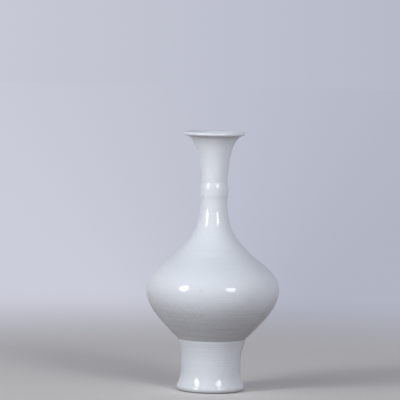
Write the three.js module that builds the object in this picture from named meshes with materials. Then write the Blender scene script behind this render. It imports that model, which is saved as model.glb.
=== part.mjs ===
// A white glazed porcelain flask vase: trumpet mouth, slim ringed neck, squat belly, high hollow foot.
// Such a vase is thrown in five sections, and slip joins each section to the next before the glaze firing.
// Millimetres, +Z up. The origin is the centre of the face that the foot ring rests on.
import * as THREE from "three";

// Height of each thrown section, from the foot up
const FOOT_HEIGHT = 62.2;
const BOWL_HEIGHT = 59.8;
const SHOULDER_HEIGHT = 46;
const LOWER_NECK_HEIGHT = 60.5;
const UPPER_NECK_HEIGHT = 81.5;

// Outer radii
const FOOT_TOP_RADIUS = 40.7;
const BELLY_RADIUS = 80;
const SHOULDER_TOP_RADIUS = 42;
const NECK_GROOVE_RADIUS = 16;
const NECK_RING_RADIUS = 16.9;
const NECK_SLIM_RADIUS = 15.7;
const LIP_RADIUS = 36.8;

// How far the foot's edge and its waist stand in from its top
const FOOT_EDGE_INSET = 0.3;
const FOOT_WAIST_INSET = 4.9;

// Heights inside a section, each measured from that section's lower end
const FOOT_WAIST_RISE = 30;
const RING_LOW_EDGE_RISE = 7;
const RING_HIGH_EDGE_RISE = 10.5;
const NECK_SLIM_RISE = 21;

// Wall thicknesses and edge rounds
const FOOT_WALL = 7.5;
const BODY_WALL = 5;
const NECK_WALL = 3.6;
const FLOOR_THICKNESS = 6.5;
const FLOOR_DIP = 1;
const FOOT_EDGE_ROUND = 4.2;
const FOOT_RING_BEVEL = 1;
const LIP_ROUND = 2.1;

// The slip between two sections, and how far its smoothed bead stands out inside the vase
const SLIP_THICKNESS = 1;
const SLIP_BEAD = 0.7;

// Slope of the outline where two curves meet, as radius gained for each millimetre of height
const FOOT_EDGE_SLOPE = -0.46;
const FOOT_TOP_SLOPE = 0.1;
const BOWL_FOOT_SLOPE = 1.02;
const SHOULDER_TOP_SLOPE = -0.87;
const LIP_SLOPE = 3.6;

// Shares of a curve's height over which it holds the slope of its lower end and of its upper end
const LOWER_FOOT_REACH = [0.3, 0.5];
const UPPER_FOOT_REACH = [0.6, 0.2];
const BOWL_REACH = [0.37, 0.34];
const SHOULDER_REACH = [0.48, 0.29];
const LOWER_NECK_REACH = [0.12, 0.68];
const RING_LOW_REACH = [0.45, 0.45];
const RING_HIGH_REACH = [0.4, 0.4];
const TRUMPET_REACH = [0.3, 0.08];

// Facets round the axis, and straight steps along each curve and each arc of the outline
const FACETS = 48;
const CURVE_STEPS = 7;
const ARC_STEPS = 6;

// A point this close to a level cut gives way to it, and two points this close are one
const SHORTEST_STEP = 0.3;
const SAME_POINT = 1e-6;

const footEdgeRadius = FOOT_TOP_RADIUS - FOOT_EDGE_INSET;
const footWaistRadius = FOOT_TOP_RADIUS - FOOT_WAIST_INSET;
const bellyHeight = FOOT_HEIGHT + BOWL_HEIGHT;
const shoulderTop = bellyHeight + SHOULDER_HEIGHT;
const neckSeam = shoulderTop + LOWER_NECK_HEIGHT;
const totalHeight = neckSeam + UPPER_NECK_HEIGHT;

// A place on the outline: its radius, height and slope
const place = (radius, height, slope = 0) => ({ radius, height, slope });

// The curve between two places
function curve(low, high, [lowReach, highReach]) {
  const rise = high.height - low.height;
  const up = rise * lowReach;
  const down = rise * highReach;
  const bezier = new THREE.CubicBezierCurve(
    new THREE.Vector2(low.radius, low.height),
    new THREE.Vector2(low.radius + low.slope * up, low.height + up),
    new THREE.Vector2(high.radius - high.slope * down, high.height - down),
    new THREE.Vector2(high.radius, high.height),
  );
  return bezier.getPoints(CURVE_STEPS);
}

// Points on an arc, both ends included, with angles in radians from the outward radius
function arc(centre, radius, from, to, steps = ARC_STEPS) {
  return Array.from({ length: steps + 1 }, (_, i) => {
    const angle = THREE.MathUtils.lerp(from, to, i / steps);
    return new THREE.Vector2(radius, 0).rotateAround(new THREE.Vector2(), angle).add(centre);
  });
}

// Several runs of points as one, without the point that neighbours share
function join(...runs) {
  return runs.flat().filter((p, i, all) => i === 0 || p.distanceTo(all[i - 1]) > SAME_POINT);
}

// The line that lies wall(height) inside an outline which runs upwards
function inside(outline, wall) {
  return outline.map((p, i) => {
    const before = outline[Math.max(i - 1, 0)];
    const after = outline[Math.min(i + 1, outline.length - 1)];
    const along = after.clone().sub(before).normalize();
    return new THREE.Vector2(p.x - along.y * wall(p.y), p.y + along.x * wall(p.y));
  });
}

// The radius of an upward line at a height
function radiusAt(line, height) {
  const next = Math.max(1, line.findIndex((p) => p.y >= height));
  const [a, b] = [line[next - 1], line[next]];
  return THREE.MathUtils.mapLinear(height, a.y, b.y, a.x, b.x);
}

// The point of an upward line at a height
const pointAt = (line, height) => new THREE.Vector2(radiusAt(line, height), height);

// The part of an upward line between two heights, cut off level at both
function between(line, low, high) {
  const kept = line.filter((p) => p.y > low + SHORTEST_STEP && p.y < high - SHORTEST_STEP);
  return [pointAt(line, low), ...kept, pointAt(line, high)];
}

// The foot: rounded at its lower edge, drawn in at the waist, spreading to meet the belly
function footOutline() {
  const edgeCentre = new THREE.Vector2(footEdgeRadius - FOOT_EDGE_ROUND, FOOT_EDGE_ROUND);
  const round = arc(edgeCentre, FOOT_EDGE_ROUND, -Math.PI / 2, Math.atan(-FOOT_EDGE_SLOPE));
  const edge = place(round.at(-1).x, round.at(-1).y, FOOT_EDGE_SLOPE);
  const waist = place(footWaistRadius, FOOT_WAIST_RISE);
  const top = place(FOOT_TOP_RADIUS, FOOT_HEIGHT, FOOT_TOP_SLOPE);
  return join(round, curve(edge, waist, LOWER_FOOT_REACH), curve(waist, top, UPPER_FOOT_REACH));
}

// Belly and lower neck, from the foot's top to the groove under the neck's ring
function bodyOutline() {
  const base = place(FOOT_TOP_RADIUS, FOOT_HEIGHT, BOWL_FOOT_SLOPE);
  const belly = place(BELLY_RADIUS, bellyHeight);
  const top = place(SHOULDER_TOP_RADIUS, shoulderTop, SHOULDER_TOP_SLOPE);
  const groove = place(NECK_GROOVE_RADIUS, neckSeam);
  return join(
    curve(base, belly, BOWL_REACH),
    curve(belly, top, SHOULDER_REACH),
    curve(top, groove, LOWER_NECK_REACH),
  );
}

// The lip is an arc from the underside of the trumpet, over the top, to the inside
const lipCentre = new THREE.Vector2(LIP_RADIUS - LIP_ROUND, totalHeight - LIP_ROUND);
const lipStart = -Math.atan(LIP_SLOPE);
const lipTop = Math.PI / 2;
const lip = join(
  arc(lipCentre, LIP_ROUND, lipStart, lipTop),
  arc(lipCentre, LIP_ROUND, lipTop, lipStart + Math.PI, ARC_STEPS / 2),
);

// The upper neck: the raised ring, the slim part above it, and the trumpet mouth up to the lip
function mouthOutline() {
  const groove = place(NECK_GROOVE_RADIUS, neckSeam);
  const ringLow = place(NECK_RING_RADIUS, neckSeam + RING_LOW_EDGE_RISE);
  const ringHigh = place(NECK_RING_RADIUS, neckSeam + RING_HIGH_EDGE_RISE);
  const slim = place(NECK_SLIM_RADIUS, neckSeam + NECK_SLIM_RISE);
  const underLip = place(lip[0].x, lip[0].y, LIP_SLOPE);
  return join(
    curve(groove, ringLow, RING_LOW_REACH),
    curve(ringHigh, slim, RING_HIGH_REACH),
    curve(slim, underLip, TRUMPET_REACH),
  );
}

// The wall thins from the belly to the neck's ring, and thickens again up to the rounded lip
function wallAt(height) {
  if (height < bellyHeight) {
    return BODY_WALL;
  }
  if (height < neckSeam) {
    return THREE.MathUtils.mapLinear(height, bellyHeight, neckSeam, BODY_WALL, NECK_WALL);
  }
  return THREE.MathUtils.mapLinear(height, neckSeam, totalHeight, NECK_WALL, 2 * LIP_ROUND);
}

// The outer lines of foot and vase, and the lines of the hollows inside them
const foot = footOutline();
const mouth = mouthOutline();
const outside = join(bodyOutline(), mouth);
const hollow = inside(outside, wallAt);
const recess = inside(foot.filter((p) => p.y > FOOT_EDGE_ROUND), () => FOOT_WALL);
recess.unshift(new THREE.Vector2(recess[0].x, 0));

// Turns a closed outline round the vase's axis
function turned(name, outline, material) {
  const mesh = new THREE.Mesh(new THREE.LatheGeometry(outline, FACETS), material);
  mesh.name = name;
  mesh.rotation.x = Math.PI / 2;
  return mesh;
}

// A wall between two heights: up its outside, down its inside
function wall(name, low, high, material) {
  const outer = between(outside, low, high);
  const inner = between(hollow, low, high).reverse();
  return turned(name, [...outer, ...inner, outer[0]], material);
}

// The slip between two sections, with its bead smoothed along the inside
function slip(name, low, outerLine, innerLine, material) {
  const high = low + SLIP_THICKNESS;
  const outer = [low, high].map((height) => pointAt(outerLine, height));
  const inner = [high, low].map((height) => pointAt(innerLine, height));
  const bead = inner[0].clone().lerp(inner[1], 0.5);
  bead.x -= SLIP_BEAD;
  return turned(name, [...outer, inner[0], bead, inner[1], outer[0]], material);
}

// The foot's ring wall stands on a flat ring that is left bare of glaze
function footSection(material) {
  const top = FOOT_HEIGHT - SLIP_THICKNESS;
  const outer = between(foot, 0, top);
  const inner = between(recess, FOOT_RING_BEVEL, top).reverse();
  const ringInner = new THREE.Vector2(inner.at(-1).x + FOOT_RING_BEVEL, 0);
  return turned("foot", [...outer, ...inner, ringInner, outer[0]], material);
}

// The bowl is the belly's lower half, with the vase's floor, which dips a little at its middle
function bowlSection(material) {
  const floorTop = FOOT_HEIGHT + FLOOR_THICKNESS;
  const top = bellyHeight - SLIP_THICKNESS / 2;
  const outer = between(outside, FOOT_HEIGHT, top);
  const inner = between(hollow, floorTop, top).reverse();
  const axisLow = new THREE.Vector2(0, FOOT_HEIGHT);
  const axisHigh = new THREE.Vector2(0, floorTop - FLOOR_DIP);
  return turned("bowl_with_floor", [axisLow, ...outer, ...inner, axisHigh], material);
}

// The upper neck and its mouth, closed over the top by the rounded lip
function mouthSection(material) {
  const low = neckSeam + SLIP_THICKNESS / 2;
  const lipEnd = lip.at(-1);
  const outer = between(mouth, low, mouth.at(-1).y);
  const inner = between([...hollow.filter((p) => p.y < lipEnd.y), lipEnd], low, lipEnd.y).reverse();
  return turned("upper_neck_with_mouth", join(outer, lip, inner, [outer[0]]), material);
}

const glaze = new THREE.MeshStandardMaterial({ color: 0xeceef2, roughness: 0.15, metalness: 0 });
const glazedSlip = new THREE.MeshStandardMaterial({ color: 0xe8eaee, roughness: 0.15, metalness: 0 });
const halfSlip = SLIP_THICKNESS / 2;

const vase = new THREE.Group();
vase.add(
  footSection(glaze),
  slip("foot_slip_joint", FOOT_HEIGHT - SLIP_THICKNESS, foot, recess, glazedSlip),
  bowlSection(glaze),
  slip("belly_slip_joint", bellyHeight - halfSlip, outside, hollow, glazedSlip),
  wall("shoulder", bellyHeight + halfSlip, shoulderTop - halfSlip, glaze),
  slip("shoulder_slip_joint", shoulderTop - halfSlip, outside, hollow, glazedSlip),
  wall("lower_neck", shoulderTop + halfSlip, neckSeam - halfSlip, glaze),
  slip("neck_slip_joint", neckSeam - halfSlip, outside, hollow, glazedSlip),
  mouthSection(glaze),
);

export default vase;
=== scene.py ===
import math

import bpy
import numpy as np
from mathutils import Matrix, Vector


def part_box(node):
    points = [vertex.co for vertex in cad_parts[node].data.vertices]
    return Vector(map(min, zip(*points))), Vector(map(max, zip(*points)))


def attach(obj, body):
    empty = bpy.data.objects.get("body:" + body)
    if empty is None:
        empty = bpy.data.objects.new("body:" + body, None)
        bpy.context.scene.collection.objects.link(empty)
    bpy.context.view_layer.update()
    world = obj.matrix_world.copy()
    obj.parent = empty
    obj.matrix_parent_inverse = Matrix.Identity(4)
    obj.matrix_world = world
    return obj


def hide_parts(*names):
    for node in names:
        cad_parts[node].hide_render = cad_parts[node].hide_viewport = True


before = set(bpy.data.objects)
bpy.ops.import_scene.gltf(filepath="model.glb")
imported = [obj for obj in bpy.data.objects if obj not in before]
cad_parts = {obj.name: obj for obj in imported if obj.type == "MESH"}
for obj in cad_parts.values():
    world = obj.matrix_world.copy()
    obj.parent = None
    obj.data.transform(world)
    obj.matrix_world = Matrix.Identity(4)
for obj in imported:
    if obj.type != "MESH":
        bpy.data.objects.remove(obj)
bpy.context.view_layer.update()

MM = 0.001


def bottom(node):
    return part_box(node)[0].z


def top(node):
    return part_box(node)[1].z


def middle(node):
    return (bottom(node) + top(node)) / 2


# Heights of the seams and the widest radii, read from the solids
FOOT_TOP = bottom("bowl_with_floor")
BELLY = middle("belly_slip_joint")
SHOULDER_TOP = middle("shoulder_slip_joint")
NECK_SEAM = middle("neck_slip_joint")
TOTAL_HEIGHT = top("upper_neck_with_mouth")
SLIP_THICKNESS = top("foot_slip_joint") - bottom("foot_slip_joint")
FOOT_EDGE_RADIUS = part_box("foot")[1].x
LIP_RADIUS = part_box("upper_neck_with_mouth")[1].x

# The other radii, heights and walls are the solids' own dimensions
FOOT_TOP_RADIUS = 40.7 * MM
FOOT_WAIST_RADIUS = 35.8 * MM
FOOT_WAIST_HEIGHT = 30 * MM
BELLY_RADIUS = 80 * MM
SHOULDER_TOP_RADIUS = 42 * MM
NECK_GROOVE_RADIUS = 16 * MM
NECK_RING_RADIUS = 16.9 * MM
NECK_SLIM_RADIUS = 15.7 * MM
RING_LOW_EDGE = NECK_SEAM + 7 * MM
RING_HIGH_EDGE = NECK_SEAM + 10.5 * MM
NECK_SLIM_HEIGHT = NECK_SEAM + 21 * MM
FOOT_WALL = 7.5 * MM
BODY_WALL = 5 * MM
NECK_WALL = 3.6 * MM
FLOOR_THICKNESS = 6.5 * MM
FLOOR_DIP = 1 * MM
FOOT_EDGE_ROUND = 4.2 * MM
RING_INNER_ROUND = 1 * MM
LIP_ROUND = 2.1 * MM
SLIP_BEAD = 0.7 * MM

# Slope of the outline where two curves meet, as radius gained for each metre of height
FOOT_EDGE_SLOPE = -0.46
FOOT_TOP_SLOPE = 0.1
BOWL_FOOT_SLOPE = 1.02
SHOULDER_TOP_SLOPE = -0.87
LIP_SLOPE = 3.6

# Shares of a curve's height over which it holds the slope of its lower end and of its upper end. They are the
# solids' own, but for the two at the neck's ring, which the glaze softens below and draws out above.
LOWER_FOOT_REACH = (0.3, 0.5)
UPPER_FOOT_REACH = (0.6, 0.2)
BOWL_REACH = (0.37, 0.34)
SHOULDER_REACH = (0.48, 0.29)
LOWER_NECK_REACH = (0.12, 0.68)
RING_LOW_REACH = (0.3, 0.3)
RING_HIGH_REACH = (0.65, 0.2)
TRUMPET_REACH = (0.3, 0.08)

# Glaze fills the corner between foot and belly with a small fillet. Inside, the floor's corner is rounded:
# from this high above the floor, over this share of the way to the middle.
CORNER_FILL = 0.8 * MM
FLOOR_ROUND = 6 * MM
FLOOR_ROUND_SHARE = 0.3

# The thrown sections don't sit quite true: the belly stands a little to the right, and the mouth to the left.
# The belly's shift fades up the shoulder, and the mouth's sets in along the trumpet.
BELLY_SHIFT = 0.5 * MM
BELLY_SHIFT_END = SHOULDER_TOP - 10 * MM
MOUTH_SHIFT = -1.1 * MM
MOUTH_SHIFT_START = TOTAL_HEIGHT - 35 * MM
MOUTH_SHIFT_FULL = TOTAL_HEIGHT - 10 * MM

# Out of round: how far each wave reaches, how the waves twist with the height, and where they die out
OVAL = 0.14 * MM
THREE_SIDED = 0.07 * MM
RIPPLE = 0.006 * MM
RIPPLE_SPACING = 9 * MM
TWIST = 17
STEADY_RADIUS = 10 * MM

# Turned lines: height, depth and half width of each. They are cut in the clay and softened by the glaze.
TURNED_LINES = [
    (52.5 * MM, 0.10 * MM, 0.5 * MM),
    (55.0 * MM, 0.14 * MM, 0.5 * MM),
    (57.7 * MM, 0.12 * MM, 0.5 * MM),
    (165.0 * MM, 0.10 * MM, 0.8 * MM),
    (171.0 * MM, 0.14 * MM, 0.8 * MM),
]

# The skin has this many facets round, and a point at each spacing along the outline
FACETS = 224
OUTER_SPACING = 0.9 * MM
INNER_SPACING = 2.5 * MM
LINE_SPACING = 0.2 * MM
EDGE_SPACING = 0.4 * MM
FLOOR_SPACING = 1.25 * MM
FINE_STEPS = 400
CORNER_STEPS = 40

# Two points this close are one, and a ring this narrow is a point on the axis
SAME_POINT = 1e-7
ON_AXIS = 1e-6


def curve(low, high, reach):
    """Points between two places (radius, height, slope), each end holding its slope for its reach."""
    rise = high[1] - low[1]
    up = rise * reach[0]
    down = rise * reach[1]
    start = np.array(low[:2])
    end = np.array(high[:2])
    after_start = start + (low[2] * up, up)
    before_end = end - (high[2] * down, down)
    t = np.linspace(0, 1, FINE_STEPS)[:, None]
    s = 1 - t
    return s**3 * start + 3 * s * s * t * after_start + 3 * s * t * t * before_end + t**3 * end


def arc(centre, radius, start, end):
    angles = np.linspace(start, end, FINE_STEPS)
    return np.array(centre) + radius * np.column_stack((np.cos(angles), np.sin(angles)))


def join(*runs):
    """Several runs of points as one, without the point that neighbours share."""
    points = np.concatenate(runs)
    apart = np.linalg.norm(np.diff(points, axis=0), axis=1) > SAME_POINT
    return points[np.concatenate(([True], apart))]


def lengths_along(line):
    steps = np.linalg.norm(np.diff(line, axis=0), axis=1)
    return np.concatenate(([0], np.cumsum(steps)))


def inside(line, wall):
    """The line that lies wall(height) inside a line which runs upwards."""
    along = np.gradient(line, axis=0)
    along /= np.linalg.norm(along, axis=1)[:, None]
    inward = np.column_stack((-along[:, 1], along[:, 0]))
    return line + inward * wall(line[:, 1])[:, None]


def bend(start, corner, end, steps):
    """A parabola from start to end, drawn towards the corner between them."""
    t = np.linspace(0, 1, steps)[:, None]
    return (1 - t) ** 2 * start + 2 * t * (1 - t) * corner + t**2 * end


def fill_corner(line, height, reach):
    """Rounds the corner that an upward line has at a height, from reach below it to reach above it."""
    below = line[line[:, 1] < height - reach]
    above = line[line[:, 1] > height + reach]
    corner = np.array((np.interp(height, line[:, 1], line[:, 0]), height))
    return join(below, bend(below[-1], corner, above[0], CORNER_STEPS), above)


def stations(line, spacing, cuts, fine_at=()):
    """The line's points at an even spacing, finer round some heights, and with a point at each cut."""
    length = lengths_along(line)
    climbs = line[-1, 1] > line[0, 1]
    heights = line[:, 1] if climbs else line[::-1, 1]
    places = length if climbs else length[::-1]
    at_cuts = np.interp(cuts, heights, places)
    wanted = [np.linspace(0, length[-1], max(2, round(length[-1] / spacing)) + 1)]
    for height, half_width in fine_at:
        centre = np.interp(height, heights, places)
        wanted.append(np.arange(centre - 3 * half_width, centre + 3 * half_width, LINE_SPACING))
    wanted = np.sort(np.concatenate(wanted))
    ends = np.array((0, length[-1]))
    fixed = np.concatenate((ends, at_cuts))
    clear = np.abs(wanted[:, None] - fixed).min(axis=1) > LINE_SPACING / 2
    wanted = np.unique(np.concatenate((wanted[clear], fixed)))
    return np.column_stack((np.interp(wanted, length, line[:, 0]), np.interp(wanted, length, line[:, 1])))


# The outside, from the ring that the foot stands on up to the lip
edge_centre = (FOOT_EDGE_RADIUS - FOOT_EDGE_ROUND, FOOT_EDGE_ROUND)
foot_round = arc(edge_centre, FOOT_EDGE_ROUND, -math.pi / 2, math.atan(-FOOT_EDGE_SLOPE))
foot_edge = (*foot_round[-1], FOOT_EDGE_SLOPE)
foot_waist = (FOOT_WAIST_RADIUS, FOOT_WAIST_HEIGHT, 0)
foot_top = (FOOT_TOP_RADIUS, FOOT_TOP, FOOT_TOP_SLOPE)
foot_line = join(
    foot_round,
    curve(foot_edge, foot_waist, LOWER_FOOT_REACH),
    curve(foot_waist, foot_top, UPPER_FOOT_REACH),
)

bowl_base = (FOOT_TOP_RADIUS, FOOT_TOP, BOWL_FOOT_SLOPE)
belly = (BELLY_RADIUS, BELLY, 0)
shoulder_top = (SHOULDER_TOP_RADIUS, SHOULDER_TOP, SHOULDER_TOP_SLOPE)
groove = (NECK_GROOVE_RADIUS, NECK_SEAM, 0)
ring_low = (NECK_RING_RADIUS, RING_LOW_EDGE, 0)
ring_high = (NECK_RING_RADIUS, RING_HIGH_EDGE, 0)
slim = (NECK_SLIM_RADIUS, NECK_SLIM_HEIGHT, 0)
lip_centre = (LIP_RADIUS - LIP_ROUND, TOTAL_HEIGHT - LIP_ROUND)
lip_start = -math.atan(LIP_SLOPE)
lip_round = arc(lip_centre, LIP_ROUND, lip_start, lip_start + math.pi)
under_lip = (*lip_round[0], LIP_SLOPE)
body_line = join(
    curve(bowl_base, belly, BOWL_REACH),
    curve(belly, shoulder_top, SHOULDER_REACH),
    curve(shoulder_top, groove, LOWER_NECK_REACH),
    curve(groove, ring_low, RING_LOW_REACH),
    curve(ring_high, slim, RING_HIGH_REACH),
    curve(slim, under_lip, TRUMPET_REACH),
)


def body_wall(height):
    """The wall thins from belly to neck, and thickens again up to the lip."""
    return np.interp(height, (BELLY, NECK_SEAM, TOTAL_HEIGHT), (BODY_WALL, NECK_WALL, 2 * LIP_ROUND))


def foot_wall(height):
    return np.full_like(height, FOOT_WALL)


# The inside, with a rounded corner at the floor, and the hollow under the floor
hollow = inside(body_line, body_wall)
hollow = hollow[hollow[:, 1] < lip_round[-1, 1]]
floor_top = FOOT_TOP + FLOOR_THICKNESS
floor_edge = hollow[hollow[:, 1] > floor_top + FLOOR_ROUND][0]
floor_middle = np.array((0, floor_top - FLOOR_DIP))
floor_corner = np.array((np.interp(floor_top, hollow[:, 1], hollow[:, 0]), floor_top))
floor_start = floor_corner + (floor_middle - floor_corner) * FLOOR_ROUND_SHARE
floor_bend = bend(floor_edge, floor_corner, floor_start, FINE_STEPS)
floor_flat = np.linspace(floor_start, floor_middle, FINE_STEPS)
recess = inside(foot_line[foot_line[:, 1] > FOOT_EDGE_ROUND], foot_wall)
recess_foot = recess[0, 0]
ring_inner_centre = (recess_foot + RING_INNER_ROUND, RING_INNER_ROUND)
ring_inner = arc(ring_inner_centre, RING_INNER_ROUND, math.pi, math.pi * 1.5)

# Seams, and the two heights of each band of slip
half = SLIP_THICKNESS / 2
FOOT_BAND = (FOOT_TOP - SLIP_THICKNESS, FOOT_TOP)
BELLY_BAND = (BELLY - half, BELLY + half)
SHOULDER_BAND = (SHOULDER_TOP - half, SHOULDER_TOP + half)
NECK_BAND = (NECK_SEAM - half, NECK_SEAM + half)
BODY_BANDS = (BELLY_BAND, SHOULDER_BAND, NECK_BAND)

# The whole skin is one line: down the hollow foot, round its ring, up the outside, over the lip and
# down the inside to the middle of the floor
recess_line = join(recess, [(recess[-1, 0], FOOT_TOP)])[::-1]
recess_down = stations(recess_line, INNER_SPACING, FOOT_BAND[:1])
outer_line = fill_corner(join(foot_line, body_line), FOOT_TOP, CORNER_FILL)
outer_cuts = np.concatenate((FOOT_BAND, *BODY_BANDS))
line_places = [(height, half_width) for height, depth, half_width in TURNED_LINES]
outer_up = stations(outer_line, OUTER_SPACING, outer_cuts, line_places)
over_lip = stations(lip_round, EDGE_SPACING, ())
inner_line = join(hollow[hollow[:, 1] > floor_top + FLOOR_ROUND], lip_round[-1:])[::-1]
inner_down = stations(inner_line, INNER_SPACING, np.concatenate(BODY_BANDS))
floor_round = stations(floor_bend, FLOOR_SPACING, ())
floor_across = stations(floor_flat, INNER_SPACING, ())
sections = {
    "recess": recess_down,
    "ring": stations(ring_inner, EDGE_SPACING, ()),
    "outer": outer_up,
    "lip": over_lip,
    "inner": inner_down,
    "floor": np.concatenate((floor_round, floor_across)),
}
skin = np.concatenate(list(sections.values()))
section_of = np.concatenate([[name] * len(points) for name, points in sections.items()])
new_place = np.concatenate(([True], np.linalg.norm(np.diff(skin, axis=0), axis=1) > SAME_POINT))
skin = skin[new_place]
section_of = section_of[new_place]


def bead(height):
    """How far the smoothed bead of slip stands out of the inner walls."""
    out = np.zeros_like(height)
    for low, high in (FOOT_BAND, *BODY_BANDS):
        share = np.clip((height - low) / (high - low), 0, 1)
        out += SLIP_BEAD * np.sin(math.pi * share) ** 2
    return out


def turned_depth(height):
    depth = np.zeros_like(height)
    for centre, deepest, half_width in TURNED_LINES:
        depth += deepest * np.exp(-(((height - centre) / half_width) ** 2))
    return depth


def thrown_wobble(angle, height):
    """How far hand throwing leaves the wall out of round."""
    turn = height * TWIST
    oval = OVAL * np.cos(2 * angle + turn)
    three_sided = THREE_SIDED * np.cos(3 * angle - 1.6 * turn + 1)
    ripple = RIPPLE * np.sin(height * 2 * math.pi / RIPPLE_SPACING + angle)
    return oval + three_sided + ripple


def smooth_step(height, start, end):
    share = np.clip((height - start) / (end - start), 0, 1)
    return share * share * (3 - 2 * share)


def off_centre(height):
    """How far the middle of the wall lies from the axis, towards +X."""
    above_foot = smooth_step(height, FOOT_WAIST_HEIGHT, FOOT_TOP)
    above_belly = smooth_step(height, BELLY, BELLY_SHIFT_END)
    at_mouth = smooth_step(height, MOUTH_SHIFT_START, MOUTH_SHIFT_FULL)
    return BELLY_SHIFT * (above_foot - above_belly) + MOUTH_SHIFT * at_mouth


# The skin's points and normals, as rows of the outline by facets round the axis
radii = skin[:, 0].copy()
heights = skin[:, 1]
is_outer = section_of == "outer"
is_inner = (section_of == "inner") | (section_of == "recess")
radii[is_outer] -= turned_depth(heights[is_outer])
radii[is_inner] -= bead(heights[is_inner])
angles = np.linspace(0, 2 * math.pi, FACETS, endpoint=False)
wobble = thrown_wobble(angles[None, :], heights[:, None])
steadied = np.clip(skin[:, :1] / STEADY_RADIUS, 0, 1)
grid_radii = radii[:, None] + wobble * steadied
grid_x = grid_radii * np.cos(angles) + off_centre(heights)[:, None] * steadied
grid_y = grid_radii * np.sin(angles)
grid = np.stack((grid_x, grid_y, np.repeat(heights[:, None], FACETS, axis=1)), axis=2)
along_line = np.gradient(grid, lengths_along(skin), axis=0)
round_axis = np.roll(grid, -1, axis=1) - np.roll(grid, 1, axis=1)
directions = np.cross(round_axis, along_line)
directions[-1] = (0, 0, 1)
directions /= np.linalg.norm(directions, axis=2)[:, :, None]


def row(section, height):
    """The skin's row of a section that lies at a height."""
    rows = np.flatnonzero(section_of == section)
    return rows[np.abs(heights[rows] - height).argmin()]


def skin_band(first, last):
    """The skin's rings from one row to another, with their normals."""
    return grid[first : last + 1], directions[first : last + 1]


def flat_band(start, end, up):
    """A level face between two rings of the same height."""
    facing = np.zeros((2, FACETS, 3))
    facing[:, :, 2] = up
    return np.stack((start, end)), facing


def strip(start, end, pole):
    """Faces between two rings given by their first vertices. The pole is the end that is a single point."""
    i = np.arange(FACETS)
    j = (i + 1) % FACETS
    if pole == "end":
        return np.column_stack((start + i, start + j, np.full(FACETS, end)))
    if pole == "start":
        return np.column_stack((np.full(FACETS, start), end + j, end + i))
    return np.column_stack((start + i, start + j, end + j, end + i))


def turned(name, bands, material, node):
    """A closed piece made of bands of rings. Its outline starts and ends on the axis, or closes on itself."""
    rings = [bands[0][0][0]]
    for places, _ in bands:
        rings.extend(places[1:])
    on_axis = np.hypot(rings[0][0, 0], rings[0][0, 1]) < ON_AXIS
    if not on_axis:
        rings.pop()
    firsts = []
    verts = []
    for ring in rings:
        firsts.append(len(verts))
        single = np.hypot(ring[0, 0], ring[0, 1]) < ON_AXIS
        verts.extend(ring[:1] if single else ring)
    firsts.append(firsts[0] if not on_axis else None)
    faces = []
    corners = []
    k = 0
    i = np.arange(FACETS)
    j = (i + 1) % FACETS
    for places, facing in bands:
        for step in range(len(places) - 1):
            starts_on_axis = on_axis and k == 0
            ends_on_axis = on_axis and k == len(rings) - 2
            pole = "start" if starts_on_axis else "end" if ends_on_axis else None
            faces.extend(strip(firsts[k], firsts[k + 1], pole).tolist())
            low = facing[step]
            high = facing[step + 1]
            if pole == "end":
                around = (low[i], low[j], high[i])
            elif pole == "start":
                around = (low[i], high[j], high[i])
            else:
                around = (low[i], low[j], high[j], high[i])
            corners.append(np.stack(around, axis=1).reshape(-1, 3))
            k += 1
    mesh = bpy.data.meshes.new(name)
    mesh.from_pydata([tuple(v) for v in verts], [], faces)
    mesh.polygons.foreach_set("use_smooth", [True] * len(mesh.polygons))
    mesh.normals_split_custom_set(np.concatenate(corners).tolist())
    mesh.materials.append(material)
    piece = bpy.data.objects.new(name, mesh)
    bpy.context.scene.collection.objects.link(piece)
    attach(piece, "root")
    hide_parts(node)
    return piece


# Places of the colour sockets on a Mix node
MIX_FACTOR = 0
MIX_A = 6
MIX_B = 7
MIX_RESULT = 2


def add(tree, kind, values=(), **settings):
    """A node with its settings and the values of its inputs, by name or place."""
    made = tree.nodes.new(kind)
    for key, value in settings.items():
        setattr(made, key, value)
    for key, value in dict(values).items():
        if isinstance(value, bpy.types.NodeSocket):
            tree.links.new(value, made.inputs[key])
        else:
            made.inputs[key].default_value = value
    return made


def noise(tree, coords, scale, stretch=(1, 1, 1), detail=2.0):
    """Noise from 0 to 1. Its scale is in turns for each metre."""
    placed = add(tree, "ShaderNodeMapping", {"Vector": coords, "Scale": stretch})
    inputs = {"Vector": placed.outputs["Vector"], "Scale": scale, "Detail": detail}
    return add(tree, "ShaderNodeTexNoise", inputs).outputs["Fac"]


def ramp(tree, value, low, high, at_low, at_high, smooth=True):
    inputs = {"Value": value, "From Min": low, "From Max": high, "To Min": at_low, "To Max": at_high}
    kind = "SMOOTHSTEP" if smooth else "LINEAR"
    return add(tree, "ShaderNodeMapRange", inputs, interpolation_type=kind).outputs["Result"]


def math_node(tree, operation, a, b):
    return add(tree, "ShaderNodeMath", {0: a, 1: b}, operation=operation).outputs["Value"]


def mix(tree, factor, a, b):
    inputs = {MIX_FACTOR: factor, MIX_A: a, MIX_B: b}
    return add(tree, "ShaderNodeMix", inputs, data_type="RGBA").outputs[MIX_RESULT]


def new_material(name):
    material = bpy.data.materials.new(name)
    material.use_nodes = True
    tree = material.node_tree
    return material, tree, tree.nodes["Principled BSDF"]


# Fine iron specks in the glaze: angle from +X in degrees, height and radius
SPECKS = [
    (-50, 291 * MM, 0.45 * MM),
    (-146, 205.3 * MM, 0.4 * MM),
    (-134.4, 152.7 * MM, 0.45 * MM),
    (-121.4, 148.1 * MM, 0.4 * MM),
    (-86.5, 90.9 * MM, 0.45 * MM),
]

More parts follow.
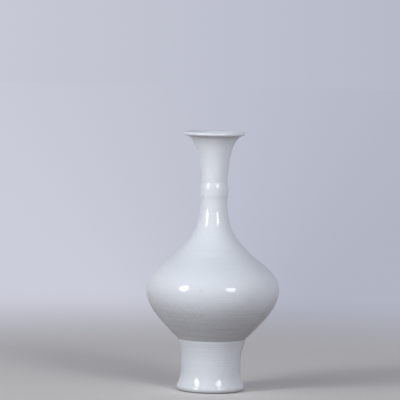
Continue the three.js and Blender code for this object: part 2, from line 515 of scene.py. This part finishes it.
# Colours of the two kinds of cloud in the white, of the marks on it, and of the bare ring
CLOUD_GREY = (0.785, 0.81, 0.845, 1)
CLOUD_WHITE = (0.80, 0.825, 0.855, 1)
STREAK_COLOUR = (0.66, 0.69, 0.72, 1)
CRACKLE_COLOUR = (0.43, 0.42, 0.42, 1)
SPECK_COLOUR = (0.17, 0.13, 0.11, 1)
BISCUIT_COLOUR = (0.66, 0.61, 0.54, 1)

# Crackle: size of the cells and width of the lines, of the wide net and of the fine one inside it
WIDE_CELL = 11 * MM
WIDE_LINE = 0.22 * MM
FINE_CELL = 4.2 * MM
FINE_LINE = 0.14 * MM

# Crackle and throwing lines show most on the lower belly. Between these heights
# they grow fainter, down to the foot and up the belly.
FADE_TO_FOOT = (50 * MM, 65 * MM)
CRACKLE_FADE_UP = (90 * MM, 130 * MM)
THROWING_FADE_UP = (95 * MM, 125 * MM)

# Depth of the relief, and the uneven line where the glaze ends above the bare ring
THROWING_DEPTH = 0.09 * MM
WAVE_DEPTH = 0.01 * MM
CRACKLE_DEPTH = 0.01 * MM
GRAIN_DEPTH = 0.15 * MM
GLAZE_END = (0.5 * MM, 0.8 * MM)
GLAZE_END_UNEVEN = 0.25 * MM


def outside_point(angle, height):
    """A point on the outside of the vase."""
    rows = np.flatnonzero(is_outer)
    radius = np.interp(height, heights[rows], radii[rows]) + thrown_wobble(angle, height)
    return (radius * math.cos(angle) + off_centre(height), radius * math.sin(angle), height)


def bent_place(tree, place):
    """Coordinates bent by noise, which keep the crackle's cells from looking even."""
    shake = add(tree, "ShaderNodeTexNoise", {"Vector": place, "Scale": 60, "Detail": 2.0}).outputs["Color"]
    centred = add(tree, "ShaderNodeVectorMath", {0: shake, 1: (0.5, 0.5, 0.5)}, operation="SUBTRACT")
    shifted = {0: centred.outputs["Vector"], "Scale": 7 * MM}
    shift = add(tree, "ShaderNodeVectorMath", shifted, operation="SCALE")
    bent = add(tree, "ShaderNodeVectorMath", {0: place, 1: shift.outputs["Vector"]}, operation="ADD")
    return bent.outputs["Vector"]


def share_at(tree, height_here, fade_up, high_share, foot_share):
    """The share of a mark that shows: all of it low on the belly, less above and on the foot."""
    below = ramp(tree, height_here, *fade_up, 1, high_share)
    above = ramp(tree, height_here, *FADE_TO_FOOT, foot_share, 1)
    return math_node(tree, "MULTIPLY", below, above)


def crackle_net(tree, coords, cell, line_width):
    """Thin lines between cells of about the given size."""
    scale = 1 / cell
    inputs = {"Vector": coords, "Scale": scale}
    cells = add(tree, "ShaderNodeTexVoronoi", inputs, feature="DISTANCE_TO_EDGE")
    edge = line_width * scale / 2
    return ramp(tree, cells.outputs["Distance"], edge * 0.4, edge * 1.6, 1, 0)


def crackle_lines(tree, place, bent):
    """The wide net of crackle with the fine one inside it, each fainter in patches."""
    wide_patches = ramp(tree, noise(tree, place, 25), 0.35, 0.65, 0.25, 1)
    fine_patches = ramp(tree, noise(tree, place, 40), 0.42, 0.62, 0, 0.8)
    wide = math_node(tree, "MULTIPLY", crackle_net(tree, bent, WIDE_CELL, WIDE_LINE), wide_patches)
    fine = math_node(tree, "MULTIPLY", crackle_net(tree, bent, FINE_CELL, FINE_LINE), fine_patches)
    return math_node(tree, "MAXIMUM", wide, fine)


def iron_specks(tree, place, bent):
    """The placed specks, and rare small ones anywhere."""
    dots = add(tree, "ShaderNodeTexVoronoi", {"Vector": bent, "Scale": 70}).outputs["Distance"]
    rare = ramp(tree, noise(tree, place, 30, detail=0.0), 0.66, 0.7, 0, 1)
    specks = math_node(tree, "MULTIPLY", ramp(tree, dots, 0.012, 0.03, 0.6, 0), rare)
    for angle, height, radius in SPECKS:
        spot = outside_point(math.radians(angle), height)
        distance = add(tree, "ShaderNodeVectorMath", {0: place, 1: spot}, operation="DISTANCE")
        mark = ramp(tree, distance.outputs["Value"], radius * 0.5, radius * 1.4, 1, 0)
        specks = math_node(tree, "MAXIMUM", specks, mark)
    return specks


def bare_ring(tree, place, height_here):
    """1 on the biscuit ring that the vase stands on, and 0 above an uneven glaze line."""
    reach = GLAZE_END_UNEVEN
    uneven = ramp(tree, noise(tree, place, 120), 0.2, 0.8, -reach, reach, smooth=False)
    return ramp(tree, math_node(tree, "ADD", height_here, uneven), *GLAZE_END, 1, 0)


def relief(tree, place, ridged, lines, bare):
    """Normals bumped by throwing lines, soft waves, crackle that dips a little, and the biscuit's grain."""
    throwing = noise(tree, place, 1, stretch=(8, 8, 500), detail=2.0)
    waves = noise(tree, place, 90, detail=1.0)
    grain = noise(tree, place, 1800)
    rise = math_node(tree, "MULTIPLY", throwing, math_node(tree, "MULTIPLY", ridged, THROWING_DEPTH))
    rise = math_node(tree, "ADD", rise, math_node(tree, "MULTIPLY", waves, WAVE_DEPTH))
    rise = math_node(tree, "SUBTRACT", rise, math_node(tree, "MULTIPLY", lines, CRACKLE_DEPTH))
    grain = math_node(tree, "MULTIPLY", grain, math_node(tree, "MULTIPLY", bare, GRAIN_DEPTH))
    rise = math_node(tree, "ADD", rise, grain)
    return add(tree, "ShaderNodeBump", {"Height": rise, "Strength": 1.0, "Distance": 1.0}).outputs["Normal"]


def crackle_glaze(name):
    """White porcelain under a clear glaze, with crackle, throwing lines, specks, and a bare ring below."""
    material, tree, shader = new_material(name)
    shader.inputs["IOR"].default_value = 1.5
    place = add(tree, "ShaderNodeTexCoord").outputs["Object"]
    height_here = add(tree, "ShaderNodeSeparateXYZ", {"Vector": place}).outputs["Z"]
    bent = bent_place(tree, place)
    crackled = share_at(tree, height_here, CRACKLE_FADE_UP, 0.35, 0.55)
    lines = math_node(tree, "MULTIPLY", crackle_lines(tree, place, bent), crackled)
    ridged = share_at(tree, height_here, THROWING_FADE_UP, 0.08, 0.3)
    bare = bare_ring(tree, place, height_here)

    # Colour: faint clouds and throwing streaks in the white, and the marks over them
    clouds = ramp(tree, noise(tree, place, 14, detail=3.0), 0.3, 0.7, 0, 1)
    streaks = noise(tree, place, 1, stretch=(14, 14, 900), detail=3.0)
    streak_share = math_node(tree, "MULTIPLY", ramp(tree, streaks, 0.35, 0.75, 0, 0.8), ridged)
    line_share = math_node(tree, "MULTIPLY", lines, 0.6)
    speck_share = math_node(tree, "MULTIPLY", iron_specks(tree, place, bent), 0.6)
    colour = mix(tree, clouds, CLOUD_GREY, CLOUD_WHITE)
    colour = mix(tree, streak_share, colour, STREAK_COLOUR)
    colour = mix(tree, line_share, colour, CRACKLE_COLOUR)
    colour = mix(tree, speck_share, colour, SPECK_COLOUR)
    colour = mix(tree, bare, colour, BISCUIT_COLOUR)
    tree.links.new(colour, shader.inputs["Base Color"])

    # The glaze's gloss is a little uneven, and the bare ring is dull
    gloss = ramp(tree, noise(tree, place, 35), 0.3, 0.7, 0.055, 0.08)
    dull = math_node(tree, "MULTIPLY", bare, 0.5)
    tree.links.new(math_node(tree, "ADD", gloss, dull), shader.inputs["Roughness"])
    tree.links.new(relief(tree, place, ridged, lines, bare), shader.inputs["Normal"])
    return material


glaze = crackle_glaze("crackle_glaze")
slip_glaze = crackle_glaze("glazed_slip")

# The foot: down the hollow, round the ring, up the outside, and level at the seam
inner_seam = row("recess", FOOT_BAND[0])
outer_seam = row("outer", FOOT_BAND[0])
foot_skin = skin_band(inner_seam, outer_seam)
foot_seam_face = flat_band(grid[outer_seam], grid[inner_seam], 1)
turned("foot_look", [foot_skin, foot_seam_face], glaze, "foot")

# The bowl: level underside, up the outside, level at the seam, down the inside to the floor's middle
base = row("outer", FOOT_TOP)
bowl_top = row("outer", BELLY_BAND[0])
bowl_inner_top = row("inner", BELLY_BAND[0])
underside = np.stack([grid[base] * (share, share, 1) for share in (0, 0.25, 0.5, 0.75, 1)])
down = np.zeros_like(underside)
down[:, :, 2] = -1
bowl = [
    (underside, down),
    skin_band(base, bowl_top),
    flat_band(grid[bowl_top], grid[bowl_inner_top], 1),
    skin_band(bowl_inner_top, len(skin) - 1),
]
turned("bowl_look", bowl, glaze, "bowl_with_floor")


def ring_of_wall(name, low, high, material, node, slot):
    """A piece of the wall between two heights, level at both ends."""
    outer_low = row("outer", low)
    outer_high = row("outer", high)
    inner_high = row("inner", high)
    inner_low = row("inner", low)
    bands = [
        skin_band(outer_low, outer_high),
        flat_band(grid[outer_high], grid[inner_high], 1),
        skin_band(inner_high, inner_low),
        flat_band(grid[inner_low], grid[outer_low], -1),
    ]
    turned(name, bands, material, node)


ring_of_wall("shoulder_look", BELLY_BAND[1], SHOULDER_BAND[0], glaze, "shoulder", "crackle_glaze")
ring_of_wall("lower_neck_look", SHOULDER_BAND[1], NECK_BAND[0], glaze, "lower_neck", "crackle_glaze")
ring_of_wall("belly_slip_look", *BELLY_BAND, slip_glaze, "belly_slip_joint", "glazed_slip")
ring_of_wall("shoulder_slip_look", *SHOULDER_BAND, slip_glaze, "shoulder_slip_joint", "glazed_slip")
ring_of_wall("neck_slip_look", *NECK_BAND, slip_glaze, "neck_slip_joint", "glazed_slip")

# The slip under the bowl, between the outside and the hollow foot
foot_slip = [
    skin_band(outer_seam, base),
    flat_band(grid[base], grid[0], 1),
    skin_band(0, inner_seam),
    flat_band(grid[inner_seam], grid[outer_seam], -1),
]
turned("foot_slip_look", foot_slip, slip_glaze, "foot_slip_joint")

# The upper neck: up the outside, over the lip, and down the inside
neck_outer = row("outer", NECK_BAND[1])
neck_inner = row("inner", NECK_BAND[1])
mouth = [skin_band(neck_outer, neck_inner), flat_band(grid[neck_inner], grid[neck_outer], -1)]
turned("mouth_look", mouth, glaze, "upper_neck_with_mouth")

# Colours of the studio: the background at the left and at the right of the vase, and the floor near it
PALE_LEFT = (0.60, 0.61, 0.70, 1)
# The colour at the right is darker as painted shade, where the light falls off
SHADED_PALE_RIGHT = (0.44, 0.46, 0.55, 1)
PALE_FLOOR = (0.86, 0.83, 0.80, 1)

# Colours of the light that the floor throws back on the vase, from near by and from farther out
NEAR_BOUNCE = (0.06, 0.015, 0.01, 1)
FAR_BOUNCE = (0.90, 0.84, 0.86, 1)

# Sideways share of the direction from the vase over which the background goes from left to right
BACKGROUND_TURN = 0.16

# Radius of the floor, and the distances from the vase between which it fades into the background, and
# between which the near bounce gives way to the far one
FLOOR_RADIUS = 12
FLOOR_FACETS = 96
FADE = (0.35, 1.2)
BOUNCE_CHANGE = (0.5, 1.3)


def seen(tree):
    """1 for camera rays and for rays that a glossy or clear surface sends on, else 0."""
    path = add(tree, "ShaderNodeLightPath")
    shiny = math_node(tree, "MAXIMUM", path.outputs["Is Glossy Ray"], path.outputs["Is Transmission Ray"])
    return math_node(tree, "MAXIMUM", path.outputs["Is Camera Ray"], shiny)


def pale_colour(tree, direction):
    """The background's colour in a direction from the vase: a little darker to the right, as painted shade.
    """
    across = add(tree, "ShaderNodeSeparateXYZ", {"Vector": direction}).outputs["X"]
    turned_right = ramp(tree, across, -BACKGROUND_TURN, BACKGROUND_TURN, 0, 1)
    return mix(tree, turned_right, PALE_LEFT, SHADED_PALE_RIGHT)


def floor_paper():
    """A floor that is plain near the vase, and fades into the pale background farther out."""
    material, tree, unused_shader = new_material("studio_floor")
    tree.nodes.remove(unused_shader)
    place = add(tree, "ShaderNodeTexCoord").outputs["Object"]
    distance = add(tree, "ShaderNodeVectorMath", {0: place}, operation="LENGTH").outputs["Value"]
    direction = add(tree, "ShaderNodeVectorMath", {0: place}, operation="NORMALIZE").outputs["Vector"]
    fade = ramp(tree, distance, *FADE, 0, 1)
    paper = add(tree, "ShaderNodeBsdfDiffuse", {"Color": PALE_FLOOR}).outputs["BSDF"]
    glow = add(tree, "ShaderNodeEmission", {"Color": pale_colour(tree, direction)}).outputs["Emission"]
    farther = ramp(tree, distance, *BOUNCE_CHANGE, 0, 1)
    bounce_colour = mix(tree, farther, NEAR_BOUNCE, FAR_BOUNCE)
    bounce = add(tree, "ShaderNodeBsdfDiffuse", {"Color": bounce_colour}).outputs["BSDF"]
    shown = add(tree, "ShaderNodeMixShader", {0: fade, 1: paper, 2: glow}).outputs["Shader"]
    look = add(tree, "ShaderNodeMixShader", {0: seen(tree), 1: bounce, 2: shown}).outputs["Shader"]
    tree.links.new(look, tree.nodes["Material Output"].inputs["Surface"])
    return material


# The floor is a wide disc
rim_angles = np.linspace(0, 2 * math.pi, FLOOR_FACETS, endpoint=False)
rim = [(FLOOR_RADIUS * math.cos(angle), FLOOR_RADIUS * math.sin(angle), 0) for angle in rim_angles]
floor_mesh = bpy.data.meshes.new("studio_floor")
floor_mesh.from_pydata(rim, [], [list(range(FLOOR_FACETS))])
floor_mesh.materials.append(floor_paper())
floor = bpy.data.objects.new("studio_floor", floor_mesh)
bpy.context.scene.collection.objects.link(floor)


# Two tall softboxes stand before the vase, and the left one is the stronger
LAMP_DISTANCE = 2.5
LEFT_AZIMUTH = -52
RIGHT_AZIMUTH = 32


def softbox(name, azimuth, low, high, width, power, colour):
    """A tall soft light that faces the vase. Its azimuth is measured from -Y, towards +X when positive."""
    light = bpy.data.lights.new(name, "AREA")
    light.shape = "ELLIPSE"
    light.size = width
    light.size_y = high - low
    light.energy = power
    light.color = colour
    lamp = bpy.data.objects.new(name, light)
    turn = math.radians(azimuth)
    out = Vector((math.sin(turn), -math.cos(turn), 0)) * LAMP_DISTANCE
    lamp.location = out + Vector((0, 0, (low + high) / 2))
    lamp.rotation_euler = (math.pi / 2, 0, turn)
    lamp.visible_camera = False
    bpy.context.scene.collection.objects.link(lamp)


softbox("softbox_left", LEFT_AZIMUTH, low=0.38, high=1.72, width=0.76, power=28, colour=(0.95, 1, 0.97))
softbox("softbox_right", RIGHT_AZIMUTH, low=0.58, high=1.70, width=0.86, power=19, colour=(0.95, 1, 0.96))

# The studio's soft light comes from the sides more than from above. Its level goes from the horizon's to the
# zenith's between two rises, and glows round each softbox, within a cosine of the softbox's direction.
STUDIO_COLOUR = (0.85, 0.86, 1.0, 1)
HORIZON_LIGHT = 0.50
ZENITH_LIGHT = 0.03
HORIZON_RISE = 0.15
ZENITH_RISE = 0.95
LEFT_GLOW = 0.9
RIGHT_GLOW = 0.7
GLOW_ELEVATION = 22
GLOW_COSINE = 0.75
world = bpy.data.worlds.new("soft_studio")
world.use_nodes = True
world_tree = world.node_tree
toward = add(world_tree, "ShaderNodeTexCoord").outputs["Generated"]
rise = add(world_tree, "ShaderNodeSeparateXYZ", {"Vector": toward}).outputs["Z"]
level = ramp(world_tree, rise, HORIZON_RISE, ZENITH_RISE, HORIZON_LIGHT, ZENITH_LIGHT, smooth=False)
for azimuth, strength in ((LEFT_AZIMUTH, LEFT_GLOW), (RIGHT_AZIMUTH, RIGHT_GLOW)):
    raised = Matrix.Rotation(math.radians(-GLOW_ELEVATION), 3, "X") @ Vector((0, -1, 0))
    facing = {0: toward, 1: Matrix.Rotation(math.radians(azimuth), 3, "Z") @ raised}
    nearness = add(world_tree, "ShaderNodeVectorMath", facing, operation="DOT_PRODUCT").outputs["Value"]
    lobe = ramp(world_tree, nearness, GLOW_COSINE, 1, 0, strength)
    level = math_node(world_tree, "ADD", level, lobe)
studio = add(world_tree, "ShaderNodeBackground", {"Color": STUDIO_COLOUR, "Strength": level})
pale = {"Color": pale_colour(world_tree, toward), "Strength": 1.0}
backdrop = add(world_tree, "ShaderNodeBackground", pale)
world_mix = {0: seen(world_tree), 1: studio.outputs["Background"], 2: backdrop.outputs["Background"]}
world_look = add(world_tree, "ShaderNodeMixShader", world_mix).outputs["Shader"]
world_tree.nodes.remove(world_tree.nodes["Background"])
world_tree.links.new(world_look, world_tree.nodes["World Output"].inputs["Surface"])
bpy.context.scene.world = world

# The camera stands far off with a long lens, and looks down a little
CAMERA_PLACE = (-0.01669, -3.575, 0.47279)
CAMERA_PITCH = 3.919
CAMERA_ROLL = 1.158
CAMERA_LENS = 270
CAMERA_SENSOR = 36
camera_data = bpy.data.cameras.new("camera")
camera_data.lens = CAMERA_LENS
camera_data.sensor_width = CAMERA_SENSOR
camera = bpy.data.objects.new("camera", camera_data)
pitch = Matrix.Rotation(math.radians(90 - CAMERA_PITCH), 4, "X")
roll = Matrix.Rotation(math.radians(CAMERA_ROLL), 4, "Z")
camera.matrix_world = Matrix.Translation(CAMERA_PLACE) @ pitch @ roll
bpy.context.scene.collection.objects.link(camera)
bpy.context.scene.camera = camera
bpy.context.scene.view_settings.view_transform = "Standard"
